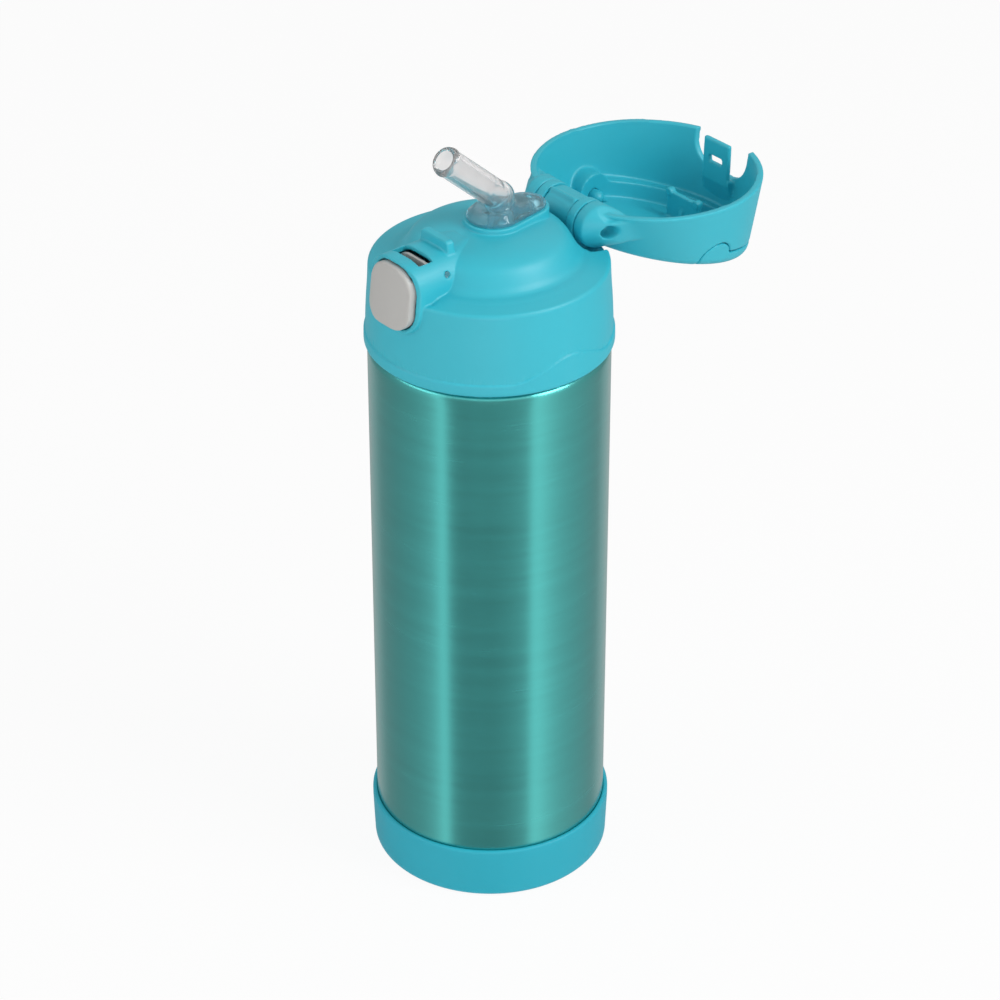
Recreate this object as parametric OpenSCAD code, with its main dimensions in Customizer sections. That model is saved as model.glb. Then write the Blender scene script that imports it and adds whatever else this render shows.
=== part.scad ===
// Insulated water bottle with a screw lid, a flip cover, a silicone drinking straw and a carry loop.
// Drawn as photographed: the cover stands open behind the lid and the straw is up.
// Origin: middle of the bottom face of the base boot. Z is up, the button faces -Y, the hinge is at +Y.

/* [Bottle] */
// Outer radius of the steel body
body_radius = 36; // [34:0.5:40]
// Height of the lower edge of the lid above the table
body_height = 180; // [150:1:230]
// Thickness of the outer steel wall
shell_wall = 0.6; // [0.5:0.1:0.8]
// Thickness of the inner steel wall
liner_wall = 0.5; // [0.4:0.1:0.7]
// Width of the vacuum space between the two walls
vacuum_gap = 3; // [2.5:0.25:4]
// Height of the threaded neck above the lower edge of the lid
neck_height = 18; // [17:0.5:18.5]
// Distance that the neck stands in from the body
neck_inset = 4.5; // [4.4:0.1:4.8]
// Rise of the thread in one turn
thread_pitch = 5; // [4.8:0.1:5.6]

/* [Base boot] */
// Height of the soft boot on the foot of the body
boot_height = 17.5; // [12:0.5:26]
// Thickness of the wall of the boot near its top
boot_wall = 1.4; // [1.2:0.1:2]
// Thickness of the floor of the boot
boot_floor = 2; // [1.5:0.25:3]

/* [Lid] */
// Height of the skirt of the lid, from its lower edge to the ledge under the cover
skirt_height = 25.8; // [25.5:0.1:26.2]
// Height of the raised band at the foot of the skirt
band_height = 3.8; // [3:0.2:5]
// Height of the wave that the band makes at each side
wave_height = 5.6; // [4:0.2:7]
// How far the band stands out from the skirt
band_step = 0.55; // [0.4:0.05:0.8]
// Height of the middle of the dome above the ledge
dome_height = 11.7; // [11.5:0.1:12]
// Thickness of the dome
dome_wall = 2.2; // [1.8:0.1:2.6]

/* [Button] */
// Half of the width of the button
button_half_width = 9; // [8.6:0.1:9.2]
// Height of the button
button_height = 18.6; // [18:0.1:19]
// Gap around the button
button_gap = 0.35; // [0.3:0.05:0.5]
// How far the button goes in
button_travel = 1.6; // [1.4:0.1:1.7]
// Width of the frame around the button
button_frame = 2; // [1.8:0.1:2.3]

/* [Hinge] */
// Distance of the hinge axis in from the side of the body
hinge_inset = 5.4; // [5:0.1:5.8]
// Height of the hinge axis above the lower edge of the lid
hinge_rise = 31; // [30.6:0.1:31.4]
// Radius of the hinge barrels
barrel_radius = 6.7; // [6.4:0.1:6.9]
// Radius of the hinge pin
hinge_pin_radius = 1.5; // [1.2:0.1:1.8]
// Angle from the closed cover to the open cover
open_angle = 181; // [176:1:183]

/* [Flip cover] */
// Distance that the rim of the cover stands in from the side of the body
rim_inset = 1.2; // [1:0.1:1.6]
// Thickness of the wall of the cover
cover_wall = 2; // [1.8:0.1:2.2]
// Slope of the top of the cover, front end up
top_tilt = 14.35; // [12:0.5:16]
// Outer radius of the top of the cover
top_radius = 30.5; // [30:0.1:31]
// Rounding of the edge of the top
top_round = 3.6; // [3:0.2:4.2]

/* [Carry loop] */
// Width of the carry loop
loop_width = 4.4; // [4:0.1:4.8]
// Radius of the round ears of the carry loop
ear_radius = 5.45; // [5:0.1:5.6]
// Radius of the pegs that the carry loop turns on
peg_radius = 2.2; // [1.8:0.1:2.4]

/* [Drinking straw] */
// Outer radius of the silicone straw
straw_radius = 4.3; // [4:0.1:4.5]
// Bore radius of the silicone straw
straw_bore = 2.8; // [2.5:0.1:3]
// Length of the silicone straw from its bend to its mouth
straw_length = 27.3; // [25:0.1:28]
// Lean of the straw towards the front, from upright
straw_lean = 48.6; // [46:0.2:51]
// Gap between the lower end of the straw tube and the floor of the bottle
stem_gap = 6; // [4:0.5:12]

/* [Hidden] */
$fn = 96;
// The one piece to draw, or all of them

// Running gap between pieces that move against each other
gap = 0.3;
// Small distance that makes joined solids overlap
lap = 0.05;
// Gap between pieces that sit together
seat = 0.03;
// Length that reaches past the whole lid, for cuts that go right through
far = 3 * body_radius;

// Bottle
lid_z = body_height;
shell_foot = boot_floor + 0.65;
shell_foot_round = 3;
shoulder_round = 2.4;
shoulder_z = lid_z - gap;
neck_radius = body_radius - neck_inset;
neck_top = lid_z + neck_height;
liner_radius = body_radius - shell_wall - vacuum_gap;
liner_foot = shell_foot + 8;
liner_neck = neck_radius - shell_wall - 1.8;
lip_thickness = 0.7;

// Threads, drawn as ridges that climb with the pitch
ridge_turns = 1.2;
neck_ridge = 1.1;
lid_bore = neck_radius + 1.5;
lid_ridge = 1.15;

// Lid, measured from its lower edge
skirt_foot = body_radius + 1;
skirt_mid = body_radius + 0.35;
skirt_top = body_radius - 0.8;
ledge_z = lid_z + skirt_height;
// Half outline of the dome: a low ring, a steep wall, a round shoulder and a nearly flat top
dome_line = [[body_radius - 2.2, ledge_z - 0.6], [body_radius - 5.5, ledge_z + 1],
    [body_radius - 9, ledge_z + 1.5], [body_radius - 10.4, ledge_z + 2.9], [body_radius - 11.8, ledge_z + 5.4],
    [body_radius - 12.8, ledge_z + 7], [body_radius - 14.2, ledge_z + 8.3], [body_radius - 17.2, ledge_z + 9.7],
    [body_radius - 22, ledge_z + 10.8], [0, ledge_z + dome_height]];
gasket_low = neck_top + lip_thickness + gap;
gasket_thick = 1.6;
seat_low = gasket_low + gasket_thick + gap;
seat_high = seat_low + 2.2;

// Button and its housing on the front of the lid
button_low = ledge_z - 8.6;
button_top = button_low + button_height;
house_half = button_half_width + button_frame;
house_low = button_low - 1.6;
house_top = button_top + 1.2;
house_back = -5;
house_low_round = 7.5;
house_top_round = 8.4;
button_low_round = 5.5;
button_top_round = 7.5;
front_low = body_radius + 1.5;
front_high = body_radius - 0.9;
slot_y = 6.9 - body_radius;
tab_thick = 1.6;
tab_half = 5.5;
chamber_back = slot_y + 10.6;
chamber_half = house_half - 1.7;
chamber_low = seat_high + 1.2;
chamber_top = house_top - 1.4;
chamber_round = 6.8;
// Back of the pocket that the button stands in: low part round, high part flat
pocket_radius = lid_bore + 0.7;
pocket_y = slot_y - tab_thick / 2 - gap - 2.2;
plate_radius = pocket_radius + button_travel + gap;
plate_y = pocket_y - button_travel - gap;
arm_in = tab_half + 1.5;
arm_out = chamber_half - gap;
pin_y = slot_y + 5.4;
pin_z = house_top - 4.7;
pin_radius = 0.9;
window_low = lid_z + 31;
window_high = window_low + 2.3;
bar_front = slot_y + tab_thick / 2 + 0.6;
bar_back = bar_front + 1.1;
bar_low = ledge_z + 0.6;
bar_top = chamber_top - gap;
spring_z = bar_low + 2.1;
spring_turns = 5;
spring_pitch = (chamber_back - bar_back - 1.1) / spring_turns;

// Hinge
hinge_y = body_radius - hinge_inset;
hinge_z = lid_z + hinge_rise;
lug_in = 5.9;
lug_out = 9;
barrel_in = lug_out + gap;
barrel_out = 13;
// The barrels flare into the wall of the cover
flare_out = 25;
flare_low = 4.4;
pin_end = 13.7;
hinge_clear = barrel_radius + 1.8;
pocket_half = barrel_out + flare_low + gap + 0.1;

// Cover, drawn closed and then turned open
rim_radius = body_radius - rim_inset;
rim_z = ledge_z + gap;
top_y = -2.2;
top_z = lid_z + 44.2;
top_ring = top_radius - top_round;
recess_floor = top_round - 4.95;
loop_inner = top_radius - loop_width - gap;
pivot_y = 0.96;
pivot_z = 1.07;
recess_wall = 1.4;
tab_low = rim_z - 0.4;
notch_top = house_top + 0.5;
window_half = 2.75;
peg_end = loop_inner - 3;
peg_in = peg_end - peg_radius - gap;

// Mouthpiece
front_y = 1.7;
rear_y = 13.5;
seat_rim_front = 8.9;
seat_rim_rear = 7.1;
base_front = 8.1;
base_rear = 6.3;
seat_top = lid_z + 38.6;
seat_depth = 9.2;
flange_thick = 1.5;
socket_depth = 9;
socket_clear = 3;
bend_y = 3.6;
bend_z = seat_top + 6;
turret_top = seat_top + 3.4;
stem_radius = straw_radius - 0.3;
stem_bore = straw_bore;
stem_low = liner_foot + liner_wall + stem_gap;
stem_high = seat_top - 12;

// Helical ridge of four-sided section: r0 and w0 at its foot, r1 and w1 at its crest
module ridge(r0, w0, r1, w1, z0, turns) {
    steps = floor(turns * 24);
    sec = [[r0, -w0 / 2], [r1, -w1 / 2], [r1, w1 / 2], [r0, w0 / 2]];
    pts = [for (i = [0 : steps]) for (p = sec)
        [p[0] * cos(i * 15), p[0] * sin(i * 15), z0 + i * thread_pitch / 24 + p[1]]];
    side = [for (i = [0 : steps - 1]) for (j = [0 : 3]) let (k = (j + 1) % 4, a = i * 4, b = a + 4)
        each [[a + j, b + j, b + k], [a + j, b + k, a + k]]];
    last = steps * 4;
    ends = [[0, 1, 2], [0, 2, 3], [last, last + 2, last + 1], [last, last + 3, last + 2]];
    // the faces run the other way round where the crest lies inside the foot
    all = concat(side, ends);
    polyhedron(points = pts, faces = r1 > r0 ? [for (f = all) [f[2], f[1], f[0]]] : all);
}

// Points of one wound wire along Z: ring i of a helix, six sides
function coil_ring(i, r, wire, pitch) = [for (j = [0 : 5])
    let (a = i * 45, b = j * 60, q = r + wire * cos(b))
    [q * cos(a), q * sin(a), i * pitch / 8 + wire * sin(b)]];
function coil_points(r, wire, pitch, turns) = [for (i = [0 : turns * 8]) each coil_ring(i, r, wire, pitch)];
// Least gap between one turn and the next, measured on the points
function coil_gap(r, wire, pitch, turns) = let (p = coil_points(r, wire, pitch, turns), n = 48)
    min([for (i = [0 : 5]) for (k = [n : min(n + 11, len(p) - 1)]) norm(p[i] - p[k])]);
module coil(r, wire, pitch, turns) {
    n = turns * 8;
    side = [for (i = [0 : n - 1]) for (j = [0 : 5]) let (k = (j + 1) % 6, a = i * 6, b = a + 6)
        each [[a + j, b + k, b + j], [a + j, a + k, b + k]]];
    ends = concat([for (j = [1 : 4]) [0, j + 1, j]], [for (j = [1 : 4]) [n * 6, n * 6 + j, n * 6 + j + 1]]);
    polyhedron(points = coil_points(r, wire, pitch, turns),
        faces = [for (f = concat(side, ends)) [f[2], f[1], f[0]]]);
}

// Rounded rectangle standing on its foot: half width, foot, top, and the two corner radii
module arch(half, low, top, low_round, top_round) {
    translate([-half, low + low_round]) square([2 * half, top - low - low_round - top_round]);
    translate([low_round - half, low]) square([2 * (half - low_round), low_round + lap]);
    translate([top_round - half, top - top_round - lap]) square([2 * (half - top_round), top_round + lap]);
    for (s = [-1, 1]) {
        translate([s * (half - low_round), low + low_round]) circle(low_round);
        translate([s * (half - top_round), top - top_round]) circle(top_round);
    }
}

// Egg-shaped outline of the mouthpiece: two circles and the lines that touch both
module egg(front, rear) {
    span = rear_y - front_y;
    a = asin((front - rear) / span);
    translate([0, front_y]) circle(front);
    translate([0, rear_y]) circle(rear);
    polygon([[front * cos(a), front_y + front * sin(a)], [rear * cos(a), rear_y + rear * sin(a)],
        [-rear * cos(a), rear_y + rear * sin(a)], [-front * cos(a), front_y + front * sin(a)]]);
}

// Extrudes an outline drawn in X and Z backwards from y0 to y1
module along_y(y0, y1) {
    translate([0, y1, 0]) rotate([90, 0, 0]) linear_extrude(y1 - y0) children();
}

// Extrudes an outline drawn in Y and Z from x0 to x1
module along_x(x0, x1) {
    translate([x0, 0, 0]) rotate([90, 0, 90]) linear_extrude(x1 - x0) children();
}

// Round bar along X
module bar_x(r, x0, x1, y, z) {
    translate([x0, y, z]) rotate([0, 90, 0]) cylinder(r = r, h = x1 - x0);
}

// Outline of the dome, let in by t for its inside
module dome_outline(t) {
    polygon(concat([[0, ledge_z - 6], [body_radius - 2.2 - 0.75 * t, ledge_z - 6]],
        [for (p = dome_line) [max(p[0] - 0.75 * t, 0), p[1] - t]]));
}

// Turns a closed cover piece about the hinge to the open pose
module open_pose() {
    translate([0, hinge_y, hinge_z]) rotate([-open_angle, 0, 0]) translate([0, -hinge_y, -hinge_z]) children();
}

// Places a piece in the frame of the sloping top of the cover
module on_top() {
    translate([0, top_y, top_z]) rotate([-top_tilt, 0, 0]) children();
}

// Half outline of a can with rounded foot and shoulder
module can(r, low, high, low_round, high_round) {
    translate([0, low + low_round]) square([r, high - low - low_round - high_round]);
    translate([0, low]) square([r - low_round, low_round + lap]);
    translate([0, high - high_round - lap]) square([r - high_round, high_round + lap]);
    translate([r - low_round, low + low_round]) circle(low_round);
    translate([r - high_round, high - high_round]) circle(high_round);
}

// Outer steel wall, drawn in to the threaded neck
module outer_shell() {
    color([0.22, 0.55, 0.53])
    union() {
        rotate_extrude() difference() {
            union() {
                intersection() {
                    can(body_radius, shell_foot, shoulder_z, shell_foot_round, shoulder_round);
                    translate([0, shell_foot]) square([2 * body_radius, body_height]);
                }
                translate([0, shoulder_z - 1]) square([neck_radius, neck_top - shoulder_z + 1]);
            }
            can(body_radius - shell_wall, shell_foot + shell_wall, shoulder_z - shell_wall,
                shell_foot_round - shell_wall, shoulder_round - shell_wall);
            translate([0, shoulder_z - 5]) square([neck_radius - shell_wall, neck_height + 20]);
            translate([0, shell_foot - 1]) square([body_radius - shell_foot_round - 0.5, 5]);
        }
        ridge(neck_radius - 0.35, 2.2, neck_radius + neck_ridge, 1.1, lid_z + 7, ridge_turns);
    }
}

// Inner steel vessel with its lip folded over the neck
module inner_liner() {
    color([0.72, 0.73, 0.74])
    rotate_extrude() difference() {
        union() {
            can(liner_radius, liner_foot, shoulder_z - shell_wall - vacuum_gap, 8, 4);
            translate([0, shoulder_z - 10]) square([liner_neck, neck_top + lip_thickness - shoulder_z + 10]);
            translate([0, neck_top + seat]) square([neck_radius, lip_thickness - seat]);
        }
        can(liner_radius - liner_wall, liner_foot + liner_wall, shoulder_z - shell_wall - vacuum_gap - liner_wall,
            8 - liner_wall, 4 - liner_wall);
        translate([0, shoulder_z - 14]) square([liner_neck - liner_wall, neck_height + 40]);
    }
}

// Bright foil wrapped round the inner vessel in the vacuum
module liner_foil() {
    color([0.85, 0.62, 0.45])
    translate([0, 0, liner_foot + 12]) rotate_extrude()
        translate([liner_radius + seat, 0]) square([0.2, shoulder_z - liner_foot - 30]);
}

// Small gas trap under the inner vessel
module getter() {
    color([0.5, 0.5, 0.52])
    translate([0, 0, liner_foot - 1.6 - seat]) cylinder(r = 5, h = 1.6);
}

// Steel plate that closes the foot of the outer wall
module shell_bottom() {
    color([0.66, 0.68, 0.69])
    rotate_extrude() difference() {
        union() {
            translate([0, shell_foot]) square([body_radius - shell_foot_round - 0.5 - seat, shell_wall]);
            translate([0, shell_foot]) square([11, 1.6]);
        }
        translate([0, shell_foot - 1]) square([10.4, 2]);
        translate([0, shell_foot - 2]) square([1.5, 8]);
    }
}

// Bead that seals the hole through which the air was drawn out
module vacuum_seal() {
    color([0.25, 0.25, 0.27])
    rotate_extrude() {
        translate([0, shell_foot + 0.4]) square([4, 0.6 - seat]);
        translate([0, shell_foot + 0.5]) square([1.5 - seat, 1.4]);
    }
}

// Ring of adhesive that holds the boot to the steel foot
module base_adhesive() {
    color([0.8, 0.8, 0.78])
    translate([0, 0, boot_floor + seat]) rotate_extrude()
        translate([body_radius / 3, 0]) square([body_radius / 2, shell_foot - boot_floor - 2 * seat]);
}

// Soft boot on the foot of the body
module base_boot() {
    foot_edge = body_radius + 0.85;
    top_edge = body_radius + boot_wall;
    color([0.2, 0.64, 0.72])
    rotate_extrude() difference() {
        union() {
            polygon([[0, 0], [foot_edge - 1.5, 0], [foot_edge, 1.5], [top_edge, boot_height - 3.2],
                [top_edge, boot_height - 1], [top_edge - 1, boot_height], [0, boot_height]]);
            translate([foot_edge - 1.5, 1.5]) circle(1.5);
            translate([top_edge - 1, boot_height - 1]) circle(1);
        }
        translate([0, boot_floor]) square([body_radius - shell_foot_round - 0.5, boot_height]);
        can(body_radius + seat, shell_foot - seat, boot_height + 40, shell_foot_round, 1);
    }
}

// Ring seal between the lip of the neck and the lid
module lid_gasket() {
    color([0.9, 0.9, 0.88])
    rotate_extrude() {
        translate([liner_neck - 0.6, gasket_low]) square([neck_radius - liner_neck + 1, gasket_thick]);
        translate([neck_radius - 1, gasket_low + gasket_thick / 2]) circle(gasket_thick / 2);
    }
}

// Outline of the skirt and the ledge, without the raised band
module skirt_outline() {
    polygon([[0, lid_z], [skirt_foot - 0.9, lid_z], [skirt_foot - band_step, lid_z + 0.5],
        [skirt_foot - band_step, lid_z + band_height], [skirt_mid, lid_z + 8], [skirt_mid - 0.3, lid_z + 14],
        [skirt_mid - 0.75, lid_z + 19.5], [skirt_top + 0.15, ledge_z - 1], [skirt_top - 0.15, ledge_z - 0.35],
        [skirt_top - 0.6, ledge_z], [0, ledge_z]]);
}

// Front housing of the button, a tunnel that runs back into the dome
module housing() {
    intersection() {
        along_y(-far, house_back) arch(house_half, house_low, house_top, house_low_round, house_top_round);
        translate([0, 0, house_low - 1])
            cylinder(r1 = front_low, r2 = front_high, h = house_top - house_low + 2);
    }
}

// Raised band at the foot of the skirt, with a wave at each side
module band() {
    intersection() {
        rotate_extrude() difference() {
            union() {
                polygon([[skirt_foot - 5, lid_z], [skirt_foot - 0.7, lid_z], [skirt_foot, lid_z + 0.7],
                    [skirt_foot - 0.05, lid_z + band_height], [skirt_mid + 0.45, lid_z + 10.5],
                    [skirt_mid - 3, lid_z + 10.5]]);
            }
            translate([0, lid_z - 1]) square([skirt_foot - 3, 20]);
        }
        along_x(-60, 60) polygon(concat([[60, lid_z - 1], [60, lid_z + band_height]],
            [for (i = [0 : 24]) let (y = 19 - i * 38 / 24, c = (1 + cos(y * 180 / 19)) / 2)
                [y, lid_z + band_height + wave_height * c]],
            [[-60, lid_z + band_height], [-60, lid_z - 1]]));
    }
}

// Block round the seat of the mouthpiece, measured up from its lower face
module seat_block(height) {
    translate([0, 0, seat_top - seat_depth]) hull() {
        translate([0, front_y, 0]) cylinder(r = seat_rim_front, h = height, $fn = 48);
        translate([0, rear_y, 0]) cylinder(r = seat_rim_rear, h = height, $fn = 48);
    }
}

// Main moulding of the lid: skirt, ledge, dome, button housing, mouthpiece seat and hinge lugs
module lid_body() {
    color([0.26, 0.72, 0.79])
    difference() {
        union() {
            difference() {
                union() {
                    rotate_extrude() skirt_outline();
                    band();
                    rotate_extrude() dome_outline(0);
                    housing();
                    seat_block(seat_depth);
                    // rib that the folded straw rests on
                    along_y(chamber_back - 2.1, chamber_back + 0.5) polygon([[-6.8, house_top - 6],
                        [6.8, house_top - 6], [6.5, house_top - 0.6], [6, house_top + 2.3], [5.2, house_top + 3],
                        [-5.2, house_top + 3], [-6, house_top + 2.3], [-6.5, house_top - 0.6]]);
                }
                // inside of the skirt and of the dome
                translate([0, 0, lid_z - 1]) cylinder(r = lid_bore, h = seat_low - lid_z + 1);
                difference() {
                    intersection() {
                        rotate_extrude() dome_outline(dome_wall);
                        translate([0, 0, seat_low - 1]) cylinder(r = liner_neck - 0.6, h = 40);
                    }
                    // walls of the button chamber, the mouthpiece seat and the hinge pocket
                    along_y(-far, chamber_back + 1.6)
                        arch(chamber_half + 1.6, seat_low - 3, house_top, 1, chamber_round + 1.6);
                    seat_block(20);
                    translate([-pocket_half - 2.2, rear_y + base_rear + 0.4, seat_low - 3])
                        cube([2 * pocket_half + 4.4, 20, 30]);
                }
                // pocket for the hinge barrels
                bar_x(hinge_clear, -pocket_half, pocket_half, hinge_y, hinge_z);
                // notch that the edge of the open cover drops into
                translate([-lug_out, lid_bore + 0.4, seat_low]) cube([2 * lug_out, 10, 20]);
            }
            // hinge lugs
            for (s = [-1, 1]) {
                bar_x(barrel_radius, s > 0 ? lug_in : -lug_out, s > 0 ? lug_out : -lug_in, hinge_y, hinge_z);
                along_x(s > 0 ? lug_in : -lug_out, s > 0 ? lug_out : -lug_in)
                    polygon([[hinge_y - barrel_radius, hinge_z + 0.5], [hinge_y - barrel_radius - 1.5, seat_high],
                        [skirt_top - 2.2, seat_high], [skirt_top - 2.2, hinge_z - 4], [hinge_y, hinge_z]]);
            }
            ridge(lid_bore + 0.35, 2.2, lid_bore - lid_ridge, 1.1, lid_z + 4.5, ridge_turns);
        }
        // pocket that the button stands in
        intersection() {
            along_y(-far, pocket_y) arch(button_half_width + button_gap, button_low - button_gap,
                button_top + button_gap, button_low_round + button_gap, button_top_round + button_gap);
            difference() {
                translate([-30, -60, house_low]) cube([60, 60, 40]);
                cylinder(r = pocket_radius, h = chamber_low);
            }
        }
        // chamber for the arms of the button
        along_y(pocket_y - 1.6, chamber_back) arch(chamber_half, chamber_low, chamber_top, 1, chamber_round);
        // slot for the latch tab of the cover
        translate([-tab_half - 0.8, slot_y - tab_thick / 2 - gap - 0.9, chamber_top - 3])
            cube([2 * tab_half + 1.6, bar_back + 0.6 - slot_y + tab_thick / 2 + gap + 0.9, 12]);
        // hole for the pin of the button
        bar_x(pin_radius + seat, -house_half - 3, house_half + 3, pin_y, pin_z);
        // hole for the mouthpiece
        translate([0, 0, seat_low]) linear_extrude(far) egg(base_front - 1.1, base_rear - 1.1);
        // hole for the hinge pin
        bar_x(hinge_pin_radius + 0.06, -2 * lug_out, 2 * lug_out, hinge_y, hinge_z);
    }
}

// Lower half of the silicone mouthpiece, seated in the lid
module mouthpiece_base() {
    color([0.82, 0.9, 0.92, 0.6])
    difference() {
        union() {
            translate([0, 0, seat_top + seat]) linear_extrude(1.2) egg(base_front, base_rear);
            translate([0, 0, seat_top - seat_depth - seat - flange_thick])
                linear_extrude(flange_thick) egg(base_front, base_rear);
            translate([0, 0, seat_top - seat_depth - 0.8]) linear_extrude(seat_depth + 1.3)
                egg(base_front - 1.1 - seat, base_rear - 1.1 - seat);
            // turret under the straw and the lower hump behind it
            translate([0, front_y, seat_top + 1])
                cylinder(r1 = base_front, r2 = 5.8, h = turret_top - seat_top - 1);
            hull() {
                translate([0, rear_y, seat_top + 0.6]) cylinder(r1 = base_rear, r2 = 3.6, h = 1.4, $fn = 48);
                translate([0, front_y + 3, seat_top + 0.6]) cylinder(r1 = base_rear, r2 = 4.4, h = 2.7, $fn = 48);
            }
            translate([0, bend_y, stem_high - socket_depth])
                cylinder(r = stem_radius + 1.4, h = socket_depth + socket_clear);
        }
        translate([0, bend_y, stem_high - far / 2]) cylinder(r = straw_bore, h = far);
        translate([0, bend_y, stem_high - socket_depth - socket_clear])
            cylinder(r = stem_radius + seat, h = socket_depth + socket_clear);
        // air vent
        translate([0, rear_y + 1.5, stem_high - socket_depth - 1]) cylinder(r = 0.8, h = far);
    }
}

// Upper half of the silicone mouthpiece: the straw with its elbow, which folds forward under the closing cover
module mouthpiece_tip() {
    foot = turret_top + gap;
    color([0.82, 0.9, 0.92, 0.6])
    difference() {
        union() {
            translate([0, bend_y, foot]) cylinder(r = straw_radius, h = bend_z - foot);
            translate([0, bend_y, bend_z]) sphere(straw_radius + 0.4);
            translate([0, bend_y, bend_z]) rotate([straw_lean, 0, 0]) {
                cylinder(r = straw_radius, h = straw_length - 1);
                translate([0, 0, straw_length - 2]) rotate_extrude() {
                    translate([straw_radius - 0.75, 0]) circle(1.05);
                    translate([straw_radius - 0.75, 1]) circle(0.75);
                }
            }
        }
        translate([0, bend_y, foot - 20]) cylinder(r = straw_bore, h = bend_z - foot + 20);
        translate([0, bend_y, bend_z]) sphere(straw_bore + 0.4);
        translate([0, bend_y, bend_z]) rotate([straw_lean, 0, 0]) cylinder(r = straw_bore, h = straw_length + 5);
        // the elbow ends above the turret
        translate([-20, bend_y - 20, foot - 20]) cube([40, 40, 20]);
    }
}

// Straw tube that reaches down into the bottle
module straw_stem() {
    color([0.9, 0.93, 0.94, 0.7])
    translate([0, bend_y, stem_low]) difference() {
        cylinder(r = stem_radius, h = stem_high - stem_low - seat);
        translate([0, 0, -1]) cylinder(r = stem_bore, h = stem_high - stem_low + 5);
        // slanted cut that keeps the end open on the floor of the bottle
        translate([0, 0, -2.5]) rotate([35, 0, 0]) translate([-10, -10, -4]) cube([20, 20, 5]);
    }
}

// Steel pin that guides the button
module button_pin() {
    color([0.75, 0.76, 0.77])
    bar_x(pin_radius, 1.2 - house_half, house_half - 1.2, pin_y, pin_z);
}

// Return spring of the button
module button_spring() {
    color([0.7, 0.71, 0.72])
    translate([0, bar_back + 0.55, spring_z]) rotate([-90, 0, 0]) coil(1.3, 0.3, spring_pitch, spring_turns);
}
echo(least_gap_button_spring = coil_gap(1.3, 0.3, spring_pitch, spring_turns));

// Grey button with its two arms and the latch nose that catches the cover
module latch_button() {
    arm_top = pin_z + 0.5;
    color([0.67, 0.67, 0.66])
    difference() {
        union() {
            // face plate
            intersection() {
                along_y(-far, plate_y)
                    arch(button_half_width, button_low, button_top, button_low_round, button_top_round);
                difference() {
                    translate([0, 0, house_low - 1])
                        cylinder(r1 = front_low + 1.9, r2 = front_high + 1.5, h = house_top - house_low + 2);
                    cylinder(r = plate_radius, h = chamber_low + gap);
                }
            }
            // arms beside the latch tab, cross bar behind it
            intersection() {
                along_y(plate_y - 0.8, 0)
                    arch(arm_out, chamber_low + gap, chamber_top - gap, 1, chamber_round - gap);
                union() {
                    for (s = [-1, 1]) translate([s > 0 ? arm_in : -arm_out, plate_y - 0.8, bar_low])
                        cube([arm_out - arm_in, pin_y + 1.6 - plate_y + 0.8, arm_top - bar_low]);
                    translate([-arm_out, bar_front, bar_low])
                        cube([2 * arm_out, bar_back - bar_front, bar_top - bar_low]);
                }
            }
            // latch nose
            along_x(0.4 - window_half, window_half - 0.4)
                polygon([[bar_front + lap, window_low + 0.4], [slot_y - 0.1, window_low + 0.4],
                    [slot_y - 0.1, window_low + 1], [bar_front + lap, window_high - 0.3]]);
        }
        // slots that let the arms slide on the pin
        for (s = [-1, 1]) along_x(s > 0 ? arm_in - 1 : -arm_out - 1, s > 0 ? arm_out + 1 : 1 - arm_in) {
            translate([pin_y - button_travel, pin_z - pin_radius - 0.15]) square([button_travel, 10]);
            translate([pin_y, pin_z]) circle(pin_radius + 0.15);
            translate([pin_y - button_travel, pin_z]) circle(pin_radius + 0.15);
        }
    }
}

// Outer form of the closed cover: the round rim and the sloping round top
module cover_form(shrink, low) {
    hull() {
        translate([0, 0, rim_z - low]) cylinder(r = rim_radius - shrink, h = 0.6 + low, $fn = 72);
        on_top() rotate_extrude($fn = 72) {
            translate([top_ring, 0]) circle(top_round - shrink, $fn = 24);
            square([top_ring, top_round - shrink]);
        }
    }
}

// Space of the carry loop in the cover, grown by g
module loop_space(g) {
    on_top() difference() {
        union() {
            translate([-far, -far, recess_floor - 1.6 * g]) cube([2 * far, far + pivot_y, far]);
            bar_x(ear_radius + gap + g, -far, far, pivot_y, pivot_z);
        }
        translate([0, 0, -far]) cylinder(r = loop_inner - g, h = 2 * far);
    }
}

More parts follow.
